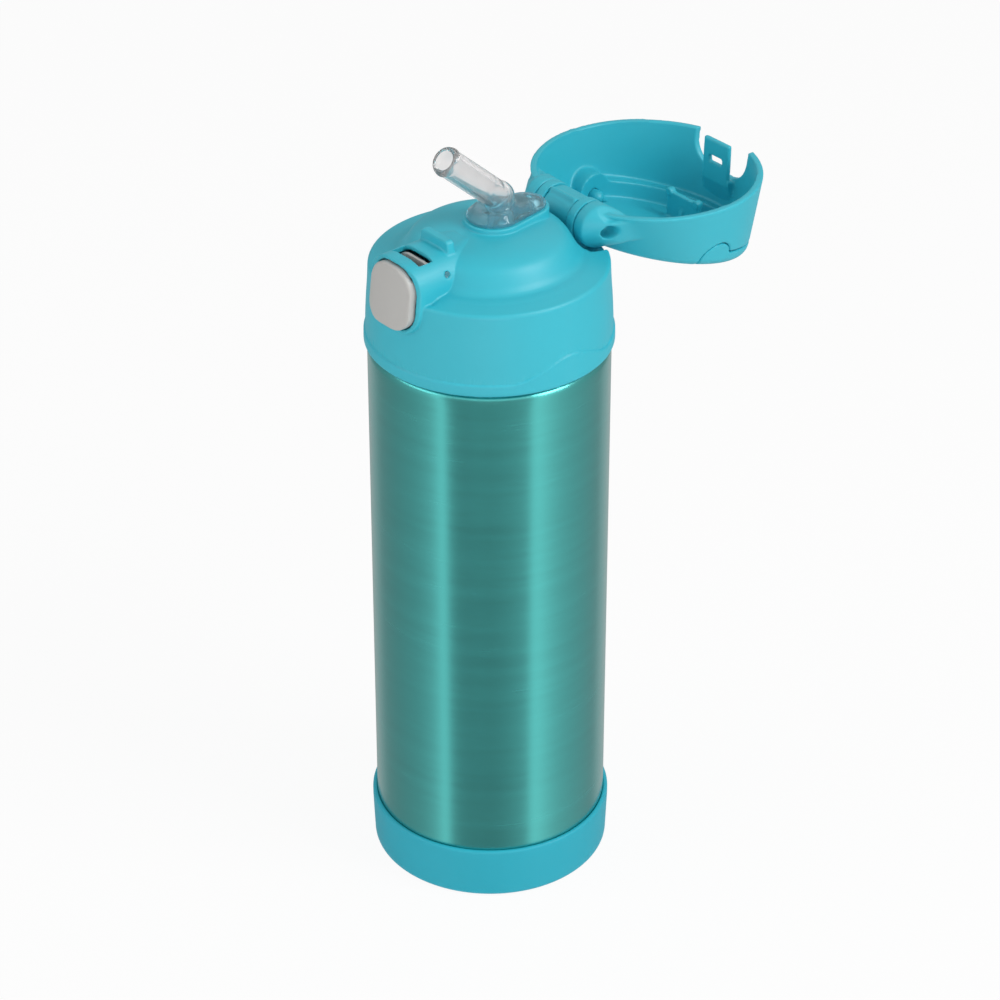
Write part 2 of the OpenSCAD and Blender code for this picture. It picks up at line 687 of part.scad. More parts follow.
// Flip cover with its latch tab, straw presser and hinge barrels
module flip_cover() {
    color([0.26, 0.72, 0.79])
    open_pose() difference() {
        union() {
            difference() {
                cover_form(0, 0);
                difference() {
                    cover_form(cover_wall, 5);
                    loop_space(recess_wall);
                }
                loop_space(0);
                // notch over the button housing
                along_y(-far, -21) arch(house_half + 0.4, house_low - 5, notch_top, 1, house_top_round + 0.4);
            }
            // latch tab, and the ramp that joins it to the front wall
            translate([-tab_half, slot_y - tab_thick / 2, tab_low])
                cube([2 * tab_half, tab_thick, notch_top + 1 - tab_low]);
            intersection() {
                cover_form(1, 0);
                along_x(-tab_half - 0.5, tab_half + 0.5) polygon([[-50, notch_top],
                    [slot_y + tab_thick / 2, notch_top], [slot_y + tab_thick / 2, notch_top + 1.6],
                    [slot_y - 3, notch_top + 12], [-50, notch_top + 12]]);
            }
            // edge that presses the folded straw shut
            intersection() {
                cover_form(1, 0);
                union() {
                    along_y(-16.9, -15.2) arch(7, lid_z + 40.6, lid_z + 60, 0.9, 1);
                    for (s = [-1, 1]) along_y(-17.3, -14.8) translate([s * 6, lid_z + 40.9]) circle(1.3);
                    along_x(-0.8, 0.8) polygon([[-15.5, lid_z + 43], [-11, lid_z + 56], [-15.5, lid_z + 56]]);
                }
            }
            // outer hinge barrels
            for (s = [-1, 1]) bar_x(barrel_radius, s > 0 ? lug_out : -barrel_out, s > 0 ? barrel_out : -lug_out,
                hinge_y, hinge_z);
            // flares between the barrels and the wall, cut off above the ledge of the lid
            for (s = [-1, 1]) intersection() {
                hull() {
                    bar_x(barrel_radius, s > 0 ? barrel_out - 3 : -barrel_out,
                        s > 0 ? barrel_out : 3 - barrel_out, hinge_y, hinge_z);
                    translate([s * flare_out, hinge_y - 7.4, rim_z + 1.8]) cube(0.6, center = true);
                    translate([s * flare_out, hinge_y - 10.4, rim_z + 6.8]) cube(0.6, center = true);
                }
                along_y(0, far) polygon([[0, lid_z], [s * barrel_out, rim_z - 2],
                    [s * (barrel_out + flare_low), rim_z + 1.6], [s * far, rim_z + 1.6], [s * far, lid_z + far],
                    [0, lid_z + far]]);
            }
            // middle knuckle with its flat face
            bar_x(barrel_radius - 0.5, -lug_in, lug_in, hinge_y, hinge_z);
            translate([-lug_in, hinge_y, hinge_z]) rotate([-27.6, 0, 0]) translate([0, 0, -5])
                cube([2 * lug_in, 5.4, 5]);
        }
        // spaces for the lugs of the lid
        for (s = [-1, 1]) bar_x(barrel_radius + 0.6, s > 0 ? lug_in - gap : -barrel_in,
            s > 0 ? barrel_in : -lug_in + gap, hinge_y, hinge_z);
        // room for the spring in the middle knuckle
        bar_x(3.9, -lug_in + 1, lug_in - 1, hinge_y, hinge_z);
        bar_x(hinge_pin_radius + 0.02, -far, far, hinge_y, hinge_z);
        // wider mouths of the pin hole
        for (s = [-1, 1]) bar_x(2.2, s > 0 ? pin_end + 0.2 : -far, s > 0 ? far : -pin_end - 0.2,
            hinge_y, hinge_z);
        // latch window
        translate([-window_half, slot_y - 5, window_low]) cube([2 * window_half, 10, window_high - window_low]);
        // holes for the pegs of the carry loop
        on_top() for (s = [-1, 1]) bar_x(peg_radius + 0.08, s > 0 ? peg_in : -far, s > 0 ? far : -peg_in,
            pivot_y, pivot_z);
    }
}

// Steel hinge pin
module hinge_pin() {
    color([0.75, 0.76, 0.77])
    bar_x(hinge_pin_radius, -pin_end, pin_end, hinge_y, hinge_z);
}

// Spring that throws the cover open
module hinge_spring() {
    color([0.7, 0.71, 0.72])
    translate([-4.2, hinge_y, hinge_z]) rotate([0, 90, 0]) coil(2.7, 0.45, 1.4, 6);
}
echo(least_gap_hinge_spring = coil_gap(2.7, 0.45, 1.4, 6));

// Carry loop that lies round the front of the cover and folds up on two pegs
module carry_handle() {
    color([0.26, 0.72, 0.79])
    open_pose() union() {
        difference() {
            intersection() {
                cover_form(0.06, 0);
                loop_space(-gap);
            }
            // flat inner faces of the ears, which turn past the wall of the recess
            on_top() translate([-loop_inner - gap, pivot_y - 4, -far])
                cube([2 * (loop_inner + gap), far, 2 * far]);
        }
        on_top() for (s = [-1, 1]) {
            bar_x(peg_radius, s > 0 ? peg_end : -loop_inner - 2, s > 0 ? loop_inner + 2 : -peg_end,
                pivot_y, pivot_z);
            translate([s * peg_end, pivot_y, pivot_z]) sphere(peg_radius);
        }
    }
}

outer_shell();
inner_liner();
liner_foil();
getter();
shell_bottom();
vacuum_seal();
base_adhesive();
base_boot();
lid_gasket();
lid_body();
mouthpiece_base();
straw_stem();
button_pin();
button_spring();
latch_button();
flip_cover();
hinge_pin();
hinge_spring();
carry_handle();
mouthpiece_tip();
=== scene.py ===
import math

import bmesh
import bpy
from mathutils import Matrix, Vector
from mathutils.bvhtree import BVHTree


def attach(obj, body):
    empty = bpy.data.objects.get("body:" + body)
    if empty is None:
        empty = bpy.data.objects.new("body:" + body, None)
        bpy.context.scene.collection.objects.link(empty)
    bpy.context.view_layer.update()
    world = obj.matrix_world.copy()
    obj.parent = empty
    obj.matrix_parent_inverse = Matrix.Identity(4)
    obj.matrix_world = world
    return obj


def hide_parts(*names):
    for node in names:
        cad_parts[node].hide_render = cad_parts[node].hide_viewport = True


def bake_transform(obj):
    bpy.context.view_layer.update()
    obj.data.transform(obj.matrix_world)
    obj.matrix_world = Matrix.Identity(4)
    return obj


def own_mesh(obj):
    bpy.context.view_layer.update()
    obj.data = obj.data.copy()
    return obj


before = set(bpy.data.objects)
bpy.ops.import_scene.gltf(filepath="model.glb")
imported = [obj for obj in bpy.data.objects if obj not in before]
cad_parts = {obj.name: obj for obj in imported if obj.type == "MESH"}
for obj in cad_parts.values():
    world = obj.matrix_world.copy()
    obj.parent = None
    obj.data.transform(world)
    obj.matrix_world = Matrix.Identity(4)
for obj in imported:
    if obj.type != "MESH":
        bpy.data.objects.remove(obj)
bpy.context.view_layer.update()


# The inner vessel is a deep-drawn steel cup, bare where it meets the drink, with its lip folded
# over the neck. Bright foil is wrapped round it inside the vacuum, and a small gas trap is welded
# under its floor.
MM = 0.001


def shade(red, green, blue):
    """Scene colour of a screen shade that is given in 0 to 255."""
    parts = [part / 255 for part in (red, green, blue)]
    return [part / 12.92 if part < 0.0405 else ((part + 0.055) / 1.055) ** 2.4
            for part in parts] + [1.0]


def working(tree, kind, operation):
    """New maths node of a node tree."""
    made = tree.nodes.new(kind)
    made.operation = operation
    return made


def wired(tree, *pairs):
    """Links each pair of sockets in a node tree."""
    for source, target in pairs:
        tree.links.new(source, target)


surface_grain = bpy.data.node_groups.new("surface_grain", "ShaderNodeTree")
for way, label, kind in (("INPUT", "Colour", "Color"), ("INPUT", "Mottle", "Float"),
                         ("INPUT", "Roughness", "Float"), ("INPUT", "Rough Spread", "Float"),
                         ("INPUT", "Stretch", "Vector"), ("OUTPUT", "Colour", "Color"),
                         ("OUTPUT", "Roughness", "Float"), ("OUTPUT", "Height", "Float")):
    surface_grain.interface.new_socket(name=label, in_out=way, socket_type="NodeSocket" + kind)
grain_in = surface_grain.nodes.new("NodeGroupInput")
grain_out = surface_grain.nodes.new("NodeGroupOutput")
grain_place = surface_grain.nodes.new("ShaderNodeTexCoord")
grain_stretch = working(surface_grain, "ShaderNodeVectorMath", "MULTIPLY")
grain_fine = surface_grain.nodes.new("ShaderNodeTexNoise")
grain_fine.inputs["Scale"].default_value = 1.0
grain_fine.inputs["Detail"].default_value = 4.0
grain_fine.inputs["Roughness"].default_value = 0.65
grain_broad = surface_grain.nodes.new("ShaderNodeTexNoise")
grain_broad.inputs["Scale"].default_value = 0.11
grain_broad.inputs["Detail"].default_value = 2.0
grain_sum = working(surface_grain, "ShaderNodeMath", "ADD")
grain_centre = working(surface_grain, "ShaderNodeMath", "SUBTRACT")
grain_centre.inputs[1].default_value = 1.0
grain_tone = working(surface_grain, "ShaderNodeMath", "MULTIPLY_ADD")
grain_tone.inputs[2].default_value = 1.0
grain_colour = working(surface_grain, "ShaderNodeVectorMath", "SCALE")
grain_rough = working(surface_grain, "ShaderNodeMath", "MULTIPLY_ADD")
wired(surface_grain,
      (grain_place.outputs["Object"], grain_stretch.inputs[0]),
      (grain_in.outputs["Stretch"], grain_stretch.inputs[1]),
      (grain_stretch.outputs[0], grain_fine.inputs["Vector"]),
      (grain_stretch.outputs[0], grain_broad.inputs["Vector"]),
      (grain_fine.outputs[0], grain_sum.inputs[0]),
      (grain_broad.outputs[0], grain_sum.inputs[1]),
      (grain_sum.outputs[0], grain_centre.inputs[0]),
      (grain_centre.outputs[0], grain_tone.inputs[0]),
      (grain_in.outputs["Mottle"], grain_tone.inputs[1]),
      (grain_in.outputs["Colour"], grain_colour.inputs[0]),
      (grain_tone.outputs[0], grain_colour.inputs["Scale"]),
      (grain_centre.outputs[0], grain_rough.inputs[0]),
      (grain_in.outputs["Rough Spread"], grain_rough.inputs[1]),
      (grain_in.outputs["Roughness"], grain_rough.inputs[2]),
      (grain_colour.outputs[0], grain_out.inputs["Colour"]),
      (grain_rough.outputs[0], grain_out.inputs["Roughness"]),
      (grain_fine.outputs[0], grain_out.inputs["Height"]))


def finish(name, colour, roughness, stretch, mottle, rough_spread, depth, sockets):
    """Material with grain in its colour, gloss and relief.

    stretch is the grain per metre along X, Y and Z, and depth is that of its relief in mm.
    """
    made = bpy.data.materials.new(name)
    made.use_nodes = True
    shader = made.node_tree.nodes["Principled BSDF"]
    grain = made.node_tree.nodes.new("ShaderNodeGroup")
    grain.node_tree = surface_grain
    grain.inputs["Colour"].default_value = colour
    grain.inputs["Mottle"].default_value = mottle
    grain.inputs["Roughness"].default_value = roughness
    grain.inputs["Rough Spread"].default_value = rough_spread
    grain.inputs["Stretch"].default_value = stretch
    relief = made.node_tree.nodes.new("ShaderNodeBump")
    relief.inputs["Strength"].default_value = 1.0
    relief.inputs["Distance"].default_value = depth * MM
    wired(made.node_tree,
          (grain.outputs["Colour"], shader.inputs["Base Color"]),
          (grain.outputs["Roughness"], shader.inputs["Roughness"]),
          (grain.outputs["Height"], relief.inputs["Height"]),
          (relief.outputs["Normal"], shader.inputs["Normal"]))
    for label, value in sockets.items():
        shader.inputs[label].default_value = value
    return made


def dress(node, material):
    """Gives a carried-over solid its finish."""
    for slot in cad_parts[node].material_slots:
        slot.material = material


turned_steel = finish("turned_steel", shade(200, 203, 205), roughness=0.3, stretch=(60, 60, 7000),
                      mottle=0.16, rough_spread=0.1, depth=0.003, sockets={"Metallic": 1.0})
crinkled_foil = finish("crinkled_foil", shade(222, 180, 150), roughness=0.22,
                       stretch=(500, 500, 300), mottle=0.12, rough_spread=0.15, depth=0.12,
                       sockets={"Metallic": 1.0})
trap_metal = finish("trap_metal", shade(120, 121, 124), roughness=0.45, stretch=(900, 900, 900),
                    mottle=0.2, rough_spread=0.15, depth=0.02, sockets={"Metallic": 1.0})
dress("inner_liner", turned_steel)
dress("liner_foil", crinkled_foil)
dress("getter", trap_metal)


# The outer wall is a steel tube, drawn in at the top to a neck with a rolled thread. It is brushed
# round and round and then coated with a clear green-blue lacquer, so light stands on it in upright
# bands.
BODY_RADIUS = 36.0
BODY_FOOT = 2.65
SHOULDER_Z = 179.7
NECK_RADIUS = 31.5
NECK_TOP = 198.0
PLATE_RADIUS = 32.5
STEEL = 0.6
THREAD_PITCH = 5.0
THREAD_TURNS = 1.2
THREAD_STEPS = 72
SAME_POINT = 0.002 * MM
SHARP_EDGE = math.radians(42)


def turned(outline, steps=256):
    """Spins an outline round the upright axis. It is closed if it starts off the axis.

    The outline's corners are (radius, height, rounding) in mm.
    """
    longest, cut = 4 * MM, 3 * MM
    shape = bmesh.new()
    corners = [shape.verts.new((radius * MM, 0, height * MM)) for radius, height, _ in outline]
    for start, end in zip(corners, corners[1:]):
        shape.edges.new((start, end))
    if outline[0][0] > 0:
        shape.edges.new((corners[-1], corners[0]))
    for corner, (_, _, rounding) in zip(corners, outline):
        if rounding:
            sides = [edge.other_vert(corner).co - corner.co for edge in corner.link_edges]
            reach = rounding * MM / math.tan(sides[0].angle(sides[1]) / 2)
            bmesh.ops.bevel(shape, geom=[corner], offset=reach, offset_type="OFFSET", segments=8,
                            profile=0.5, affect="VERTICES", material=-1)
    for edge in [edge for edge in shape.edges if edge.calc_length() > longest]:
        bmesh.ops.subdivide_edges(shape, edges=[edge], cuts=int(edge.calc_length() / cut))
    bmesh.ops.spin(shape, geom=shape.verts[:] + shape.edges[:], cent=(0, 0, 0), axis=(0, 0, 1),
                   dvec=(0, 0, 0), angle=math.tau, steps=steps, use_merge=True)
    bmesh.ops.remove_doubles(shape, verts=shape.verts, dist=SAME_POINT)
    bmesh.ops.recalc_face_normals(shape, faces=shape.faces)
    return shape


def meshed(name, shape):
    """Mesh of a shape, which is used up."""
    mesh = bpy.data.meshes.new(name)
    shape.to_mesh(mesh)
    shape.free()
    return mesh


def placed(name, data):
    """Object in the scene, at the origin."""
    made = bpy.data.objects.new(name, data)
    bpy.context.scene.collection.objects.link(made)
    return made


def piece(name, shape, material):
    """Object of the finished shape, shaded smooth with its sharp edges kept, in its material."""
    mesh = meshed(name, shape)
    mesh.shade_smooth()
    mesh.set_sharp_from_angle(angle=SHARP_EDGE)
    mesh.materials.append(material)
    made = placed(name, mesh)
    return made


wall = turned([(PLATE_RADIUS, BODY_FOOT, 0), (BODY_RADIUS, BODY_FOOT, 3.0),
               (BODY_RADIUS, SHOULDER_Z, 2.4), (NECK_RADIUS, SHOULDER_Z, 0.4),
               (NECK_RADIUS, NECK_TOP, 0.2), (NECK_RADIUS - STEEL, NECK_TOP, 0),
               (NECK_RADIUS - STEEL, SHOULDER_Z - STEEL, 0.8),
               (BODY_RADIUS - STEEL, SHOULDER_Z - STEEL, 1.8),
               (BODY_RADIUS - STEEL, BODY_FOOT + STEEL, 2.4),
               (PLATE_RADIUS, BODY_FOOT + STEEL, 0)])
thread = [wall.verts.new((radius * MM, 0, height * MM))
          for radius, height in ((31.2, 185.9), (32.6, 186.45), (32.6, 187.55), (31.2, 188.1))]
thread_end = wall.faces.new(thread)
bmesh.ops.spin(wall, geom=[thread_end, *thread_end.edges, *thread_end.verts], cent=(0, 0, 0),
               axis=(0, 0, 1), dvec=(0, 0, THREAD_PITCH * MM / THREAD_STEPS),
               angle=math.tau * THREAD_TURNS, steps=int(THREAD_STEPS * THREAD_TURNS))
lacquered_steel = finish("lacquered_steel", shade(83, 193, 189), roughness=0.24,
                         stretch=(110, 110, 2900), mottle=0.14, rough_spread=0.1, depth=0.0015,
                         sockets={"Metallic": 1.0, "Anisotropic": 0.75,
                                  "Anisotropic Rotation": 0.25, "Coat Weight": 0.6,
                                  "Coat Roughness": 0.22})
steel_nodes = lacquered_steel.node_tree.nodes
brushed_round = steel_nodes.new("ShaderNodeTangent")
brushed_round.direction_type = "RADIAL"
brushed_round.axis = "Z"
wired(lacquered_steel.node_tree,
      (brushed_round.outputs[0], steel_nodes["Principled BSDF"].inputs["Tangent"]))
outer_wall = piece("outer_wall", wall, lacquered_steel)
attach(outer_wall, "bottle")
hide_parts("outer_shell")


# A steel plate closes the foot of the outer wall. Its small hole, through which the air was drawn
# out, is shut by a fused glass bead, and a ring of adhesive holds the boot to the plate.
fused_bead = finish("fused_bead", shade(58, 48, 42), roughness=0.12, stretch=(1500, 1500, 1500),
                    mottle=0.3, rough_spread=0.05, depth=0.01, sockets={"Coat Weight": 0.5})
cured_adhesive = finish("cured_adhesive", shade(214, 212, 203), roughness=0.5,
                        stretch=(600, 600, 600), mottle=0.12, rough_spread=0.12, depth=0.08,
                        sockets={"Subsurface Weight": 0.2, "Subsurface Scale": 0.002})
dress("shell_bottom", turned_steel)
dress("vacuum_seal", fused_bead)
dress("base_adhesive", cured_adhesive)


# The boot is a soft moulded cup, a shade deeper than the lid, pushed over the foot of the body and
# glued under it. Its wall leans out a little towards a rounded upper edge.
BOOT_RADIUS = 37.4
BOOT_BORE = 36.05
BOOT_TOP = 17.5
BOOT_SEAT = 2.62
BOOT_FLOOR = 2.0
boot = turned([(0, 0, 0), (30, 0, 0), (36.85, 0, 1.6), (BOOT_RADIUS, 14.3, 8.0),
               (BOOT_RADIUS, BOOT_TOP, 0.9), (BOOT_BORE, BOOT_TOP, 0.35),
               (BOOT_BORE, BOOT_SEAT, 3.0), (PLATE_RADIUS, BOOT_SEAT, 0),
               (PLATE_RADIUS, BOOT_FLOOR, 0), (0, BOOT_FLOOR, 0)])
soft_boot = finish("soft_boot", shade(34, 174, 195), roughness=0.5, stretch=(2600, 2600, 2600),
                   mottle=0.04, rough_spread=0.1, depth=0.012,
                   sockets={"Specular IOR Level": 0.45})
base_cup = piece("base_cup", boot, soft_boot)
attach(base_cup, "bottle")
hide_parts("base_boot")


# The ring seal is a pale silicone washer in the roof of the lid. It is pressed on the folded lip
# when the lid is screwed down.
ring_silicone = finish("ring_silicone", shade(226, 226, 220), roughness=0.4,
                       stretch=(1200, 1200, 1200), mottle=0.05, rough_spread=0.1, depth=0.01,
                       sockets={"Subsurface Weight": 0.3, "Subsurface Scale": 0.002})
dress("lid_gasket", ring_silicone)


# The lid is one injection moulding in satin green-blue plastic: skirt, waved band, dome and the
# housing of the button. Its edges are soft, and the dome runs out to the ledge in a shallow hollow.
LEDGE_Z = 205.8
LEDGE_RADIUS = 34.6
HOUSING_SIDE = 12.0
HOUSING_BACK = -20.0
HOLLOW_DEPTH = 0.7
SKIRT_BORE = 34.5
BAND_FOOT = 197.0
HIGH_ABOVE = 0.3


def refined(shape, kind, **settings):
    """Shape after one modifier. The shape that is handed in is used up."""
    mesh = meshed("rough", shape)
    rough = placed("rough", mesh)
    step = rough.modifiers.new("step", kind)
    for setting, value in settings.items():
        setattr(step, setting, value)
    ready = rough.evaluated_get(bpy.context.evaluated_depsgraph_get())
    even = bpy.data.meshes.new_from_object(ready)
    result = bmesh.new()
    result.from_mesh(even)
    bpy.data.objects.remove(rough)
    bpy.data.meshes.remove(mesh)
    bpy.data.meshes.remove(even)
    return result


def remeshed(shape, voxel):
    """Rebuilds a shape as an even skin of small faces, voxel mm across."""
    return refined(shape, "REMESH", mode="VOXEL", voxel_size=voxel * MM)


def thinned(shape, most):
    """Joins the smallest faces of a skin until it has at most the given number of triangles."""
    count = sum(len(face.verts) - 2 for face in shape.faces)
    return refined(shape, "DECIMATE", ratio=min(1.0, most / count))


def solid_copy(*nodes):
    """Merged copy of the carried-over solids."""
    shape = bmesh.new()
    for node in nodes:
        shape.from_mesh(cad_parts[node].data)
    bmesh.ops.remove_doubles(shape, verts=shape.verts, dist=SAME_POINT)
    return shape


def surface(form):
    """Search tree of a form's faces. The form is used up."""
    tree = BVHTree.FromBMesh(form)
    form.free()
    return tree


def settle(shape, form, reach):
    """Draws the points within reach mm of a finely curved form onto it."""
    tree = surface(form)
    for point in shape.verts:
        near = tree.find_nearest(point.co, reach * MM)[0]
        if near is not None:
            point.co = near


def soften(shape, points, passes):
    """Rounds the edges among some points of a shape."""
    for _ in range(passes):
        bmesh.ops.smooth_vert(shape, verts=points, factor=0.5, use_axis_x=True, use_axis_y=True,
                              use_axis_z=True)


lid = remeshed(solid_copy("lid_body"), voxel=0.3)
skirt_form = turned([(30, 180, 0), (36.1, 180, 0), (36.45, 180.5, 0), (36.45, 183.8, 20),
                     (36.35, 188, 60), (36.05, 194, 80), (35.6, 199.5, 80), (35.35, 204.8, 0),
                     (35.05, 205.45, 0), (LEDGE_RADIUS, LEDGE_Z, 0), (30, LEDGE_Z, 0)])
settle(lid, skirt_form, reach=0.12)
dome_form = turned([(0, 217.5, 0), (14, 216.6, 30), (18.8, 215.5, 15), (21.8, 214.1, 6),
                    (23.2, 212.8, 7), (24.2, 211.2, 0), (25.6, 208.7, 6), (27, 207.3, 2.8),
                    (30.5, 206.8, 10), (33.8, 205.2, 0)])
settle(lid, dome_form, reach=0.2)
hollow = surface(turned([(28, 207.17, 0), (30.3, 206.85, 10), (32, 205.95, 4),
                         (LEDGE_RADIUS, LEDGE_Z, 0)]))
for point in lid.verts:
    if abs(point.co.x) > HOUSING_SIDE * MM or point.co.y > HOUSING_BACK * MM:
        start = Vector((point.co.x, point.co.y, HIGH_ABOVE))
        above = hollow.ray_cast(start, Vector((0, 0, -1)))[0]
        if above is not None and 0 < above.z - point.co.z < HOLLOW_DEPTH * MM:
            point.co.z = above.z
soften(lid, [point for point in lid.verts
             if point.co.z > BAND_FOOT * MM or point.co.xy.length < SKIRT_BORE * MM], passes=3)
lid = thinned(lid, most=180000)
satin_plastic = finish("satin_plastic", shade(42, 184, 203), roughness=0.48,
                       stretch=(3200, 3200, 3200), mottle=0.035, rough_spread=0.08, depth=0.006,
                       sockets={"Specular IOR Level": 0.65})
screw_lid = piece("screw_lid", lid, satin_plastic)
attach(screw_lid, "lid")
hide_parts("lid_body")


# A drawn steel pin guides the button, and a small coil of spring wire behind the cross bar pushes
# it out again.
def coil(radius, wire, pitch, turns):
    """Wound wire along Z from the origin, in mm. wire is the radius of the wire."""
    steps = 24
    shape = bmesh.new()
    upright = Matrix.Rotation(math.pi / 2, 4, "X")
    bmesh.ops.create_circle(shape, cap_ends=True, segments=12, radius=wire * MM,
                            matrix=Matrix.Translation((radius * MM, 0, 0)) @ upright)
    bmesh.ops.spin(shape, geom=shape.verts[:] + shape.edges[:] + shape.faces[:], cent=(0, 0, 0),
                   axis=(0, 0, 1), dvec=(0, 0, pitch * MM / steps), angle=math.tau * turns,
                   steps=steps * turns)
    bmesh.ops.recalc_face_normals(shape, faces=shape.faces)
    return shape


drawn_steel = finish("drawn_steel", shade(190, 192, 195), roughness=0.28,
                     stretch=(4000, 4000, 4000), mottle=0.12, rough_spread=0.12, depth=0.003,
                     sockets={"Metallic": 1.0})
dress("button_pin", drawn_steel)
return_coil = coil(radius=1.3, wire=0.3, pitch=1.4, turns=5)
lying_back = Matrix.Rotation(-math.pi / 2, 4, "X")
bmesh.ops.transform(return_coil, verts=return_coil.verts,
                    matrix=Matrix.Translation((0, -26.05 * MM, 208.5 * MM)) @ lying_back)
return_spring = piece("return_spring", return_coil, drawn_steel)
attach(return_spring, "lid")
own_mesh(return_spring)
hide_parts("button_spring")


# The push button is moulded in matt warm grey, with two arms that run back past the slot to a
# cross bar. Its edge is well rounded over.
BUTTON_CAP = -33.0
push = remeshed(solid_copy("latch_button"), voxel=0.22)
soften(push, push.verts[:], passes=4)
soften(push, [point for point in push.verts if point.co.y < BUTTON_CAP * MM], passes=10)
matt_grey = finish("matt_grey", shade(187, 186, 183), roughness=0.4, stretch=(4200, 4200, 4200),
                   mottle=0.03, rough_spread=0.08, depth=0.008,
                   sockets={"Specular IOR Level": 0.5})
push_button = piece("push_button", push, matt_grey)
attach(push_button, "button")
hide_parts("latch_button")


# The mouthpiece is one clear silicone moulding: a flanged foot in the seat of the dome, a turret
# and the bent straw, built standing with its elbow smoothed round; the real one folds there when
# the cover comes down. A stiff clear tube pushed into its foot reaches the floor of the bottle.
STRAW_Y = 3.6
TURRET_TOP = 222.4
ELBOW = Vector((0, STRAW_Y, 226.0)) * MM
ELBOW_REACH = 6.0
mouth = solid_copy("mouthpiece_base", "mouthpiece_tip")
joining = turned([(2.8, 221.7, 0), (5.6, 221.7, 0), (4.4, 222.7, 0), (2.8, 222.7, 0)], steps=64)
bmesh.ops.translate(joining, verts=joining.verts, vec=(0, STRAW_Y * MM, 0))
joining_mesh = meshed("joining", joining)
mouth.from_mesh(joining_mesh)
bpy.data.meshes.remove(joining_mesh)
mouth = remeshed(mouth, voxel=0.26)
soften(mouth, mouth.verts[:], passes=10)
soften(mouth, [point for point in mouth.verts
               if (point.co - ELBOW).length < ELBOW_REACH * MM
               and point.co.z > TURRET_TOP * MM], passes=24)
# The emission of this material is a painted glow: the foot shines faintly teal, fading to none at
# the straw.
clear_silicone = finish("clear_silicone", shade(240, 239, 239), roughness=0.05,
                        stretch=(900, 900, 900), mottle=0.02, rough_spread=0.04, depth=0.004,
                        sockets={"Transmission Weight": 0.88, "IOR": 1.41,
                                 "Emission Strength": 1.0})
silicone_nodes = clear_silicone.node_tree.nodes
silicone_place = silicone_nodes.new("ShaderNodeTexCoord")
silicone_axes = silicone_nodes.new("ShaderNodeSeparateXYZ")
# Height ramp from the foot up to the straw, which fades out the painted see-through colour and the
# painted glow.
silicone_rise = silicone_nodes.new("ShaderNodeMapRange")
silicone_rise.inputs["From Min"].default_value = 220.0 * MM
silicone_rise.inputs["From Max"].default_value = 225.5 * MM
# Painted see-through colour: towards the foot the clear silicone is tinted teal, standing in for
# the lid seen through it.
silicone_painted_lid_tint = silicone_nodes.new("ShaderNodeMix")
# Painted glow: faint teal emission at the foot, fading to none up the turret to the straw.
silicone_painted_glow = silicone_nodes.new("ShaderNodeMix")
for mixed, at_foot, at_straw in (
        (silicone_painted_lid_tint, shade(150, 212, 224), shade(240, 239, 239)),
        (silicone_painted_glow, (0.008, 0.034, 0.042, 1), (0, 0, 0, 1))):
    mixed.data_type = "RGBA"
    mixed.inputs["A"].default_value = at_foot
    mixed.inputs["B"].default_value = at_straw
wired(clear_silicone.node_tree,
      (silicone_place.outputs["Object"], silicone_axes.inputs[0]),
      (silicone_axes.outputs["Z"], silicone_rise.inputs["Value"]),
      (silicone_rise.outputs[0], silicone_painted_lid_tint.inputs["Factor"]),
      (silicone_rise.outputs[0], silicone_painted_glow.inputs["Factor"]),
      (silicone_painted_lid_tint.outputs["Result"], silicone_nodes["Group"].inputs["Colour"]),
      (silicone_painted_glow.outputs["Result"],
       silicone_nodes["Principled BSDF"].inputs["Emission Color"]))
mouthpiece = piece("mouthpiece", mouth, clear_silicone)
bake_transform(mouthpiece)
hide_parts("mouthpiece_base", "mouthpiece_tip")
clear_tube = finish("clear_tube", shade(226, 236, 240), roughness=0.22, stretch=(900, 900, 300),
                    mottle=0.03, rough_spread=0.08, depth=0.004,
                    sockets={"Transmission Weight": 0.7, "IOR": 1.5})
dress("straw_stem", clear_tube)


# The flip cover is moulded in the same plastic as the lid. It carries the latch tab with its
# window, the notch that clears the housing, the edge that presses the straw shut, and the two
# barrels of the hinge, which flare into its wall.
HINGE_Y = 30.6
HINGE_Z = 211.0
HINGE = Vector((0, HINGE_Y, HINGE_Z)) * MM
OPENED = (Matrix.Translation(HINGE) @ Matrix.Rotation(math.radians(-181), 4, "X")
          @ Matrix.Translation(-HINGE))
ON_TOP = (Matrix.Translation((0, -2.2 * MM, 224.2 * MM))
          @ Matrix.Rotation(math.radians(-14.35), 4, "X"))
RIM_RADIUS = 34.8
RIM_Z = 206.1
RIM_EDGE = 206.7
TOP_RADIUS = 26.9
TOP_ROUNDING = 3.6
ROUND_STEP = 7.5
ROUND_STEPS = range(-4, 13)
COVER_SEGMENTS = 320
BARREL_END = 12.6
FLARE_BACK = 44.0
FLARE_PROUD = 0.04
FADE_START = 18.5
FADE_LENGTH = 6.0
FADE_SEEN = 0.1


def cover_shell(shrink, low):
    """Fine form of the opened cover: the round rim, and the sloping top with its rounded edge.

    It is drawn in by shrink mm, and its rim goes low mm further down.
    """
    shape = bmesh.new()
    for height in (RIM_Z - low, RIM_EDGE):
        bmesh.ops.create_circle(shape, segments=COVER_SEGMENTS, radius=(RIM_RADIUS - shrink) * MM,
                                matrix=Matrix.Translation((0, 0, height * MM)))
    rounding = TOP_ROUNDING - shrink
    for step in ROUND_STEPS:
        turn = math.radians(step * ROUND_STEP)
        raised = Matrix.Translation((0, 0, rounding * math.sin(turn) * MM))
        bmesh.ops.create_circle(shape, segments=COVER_SEGMENTS,
                                radius=(TOP_RADIUS + rounding * math.cos(turn)) * MM,
                                matrix=ON_TOP @ raised)
    bmesh.ops.convex_hull(shape, input=shape.verts)
    loose = [point for point in shape.verts if not point.link_faces]
    bmesh.ops.delete(shape, geom=loose, context="VERTS")
    bmesh.ops.transform(shape, verts=shape.verts, matrix=OPENED)
    return shape


